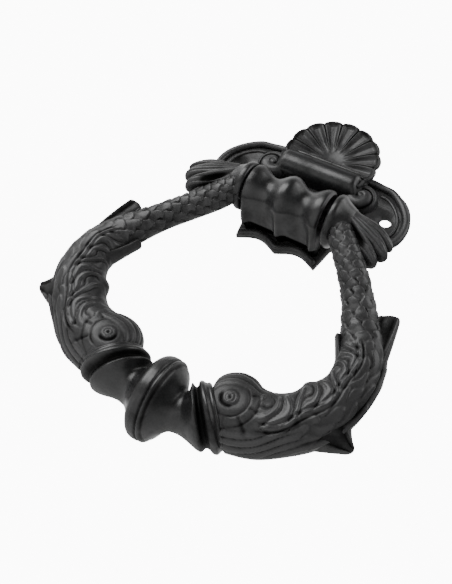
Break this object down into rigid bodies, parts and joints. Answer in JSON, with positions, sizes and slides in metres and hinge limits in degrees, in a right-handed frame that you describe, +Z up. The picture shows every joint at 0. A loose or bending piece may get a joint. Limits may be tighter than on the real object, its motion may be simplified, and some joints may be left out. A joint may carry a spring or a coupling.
{
  "type": "door knocker",
  "caption": "Cast iron door knocker: a ring of paired dolphins joined by a turned grip, hung on a backplate with a scallop shell.",
  "frame": {"origin": "on the plate's back plane, level with the hinge axis and midway between the two screw holes", "axes": "+X to the right for someone facing the door, +Z up the door, +Y into the door along the back mount's normal"},
  "size_m": [0.1502, 0.0363, 0.1958],
  "materials": {
    "iron": "satin black coat",
    "steel": "blackened"
  },
  "bodies": {
    "mounting": {"backplate": "iron", "scallop_shell": "iron", "hinge_knuckle": "iron", "hinge_pin": "steel"},
    "ring": {"left_dolphin": "iron", "right_dolphin": "iron", "baluster_grip": "iron"}
  },
  "joints": [
    {"name": "ring_hinge", "type": "hinge", "parent": "mounting", "child": "ring", "pos_m": [0, -0.0233, 0], "axis": [-1, 0, 0], "range_deg": [0, 120]}
  ]
}
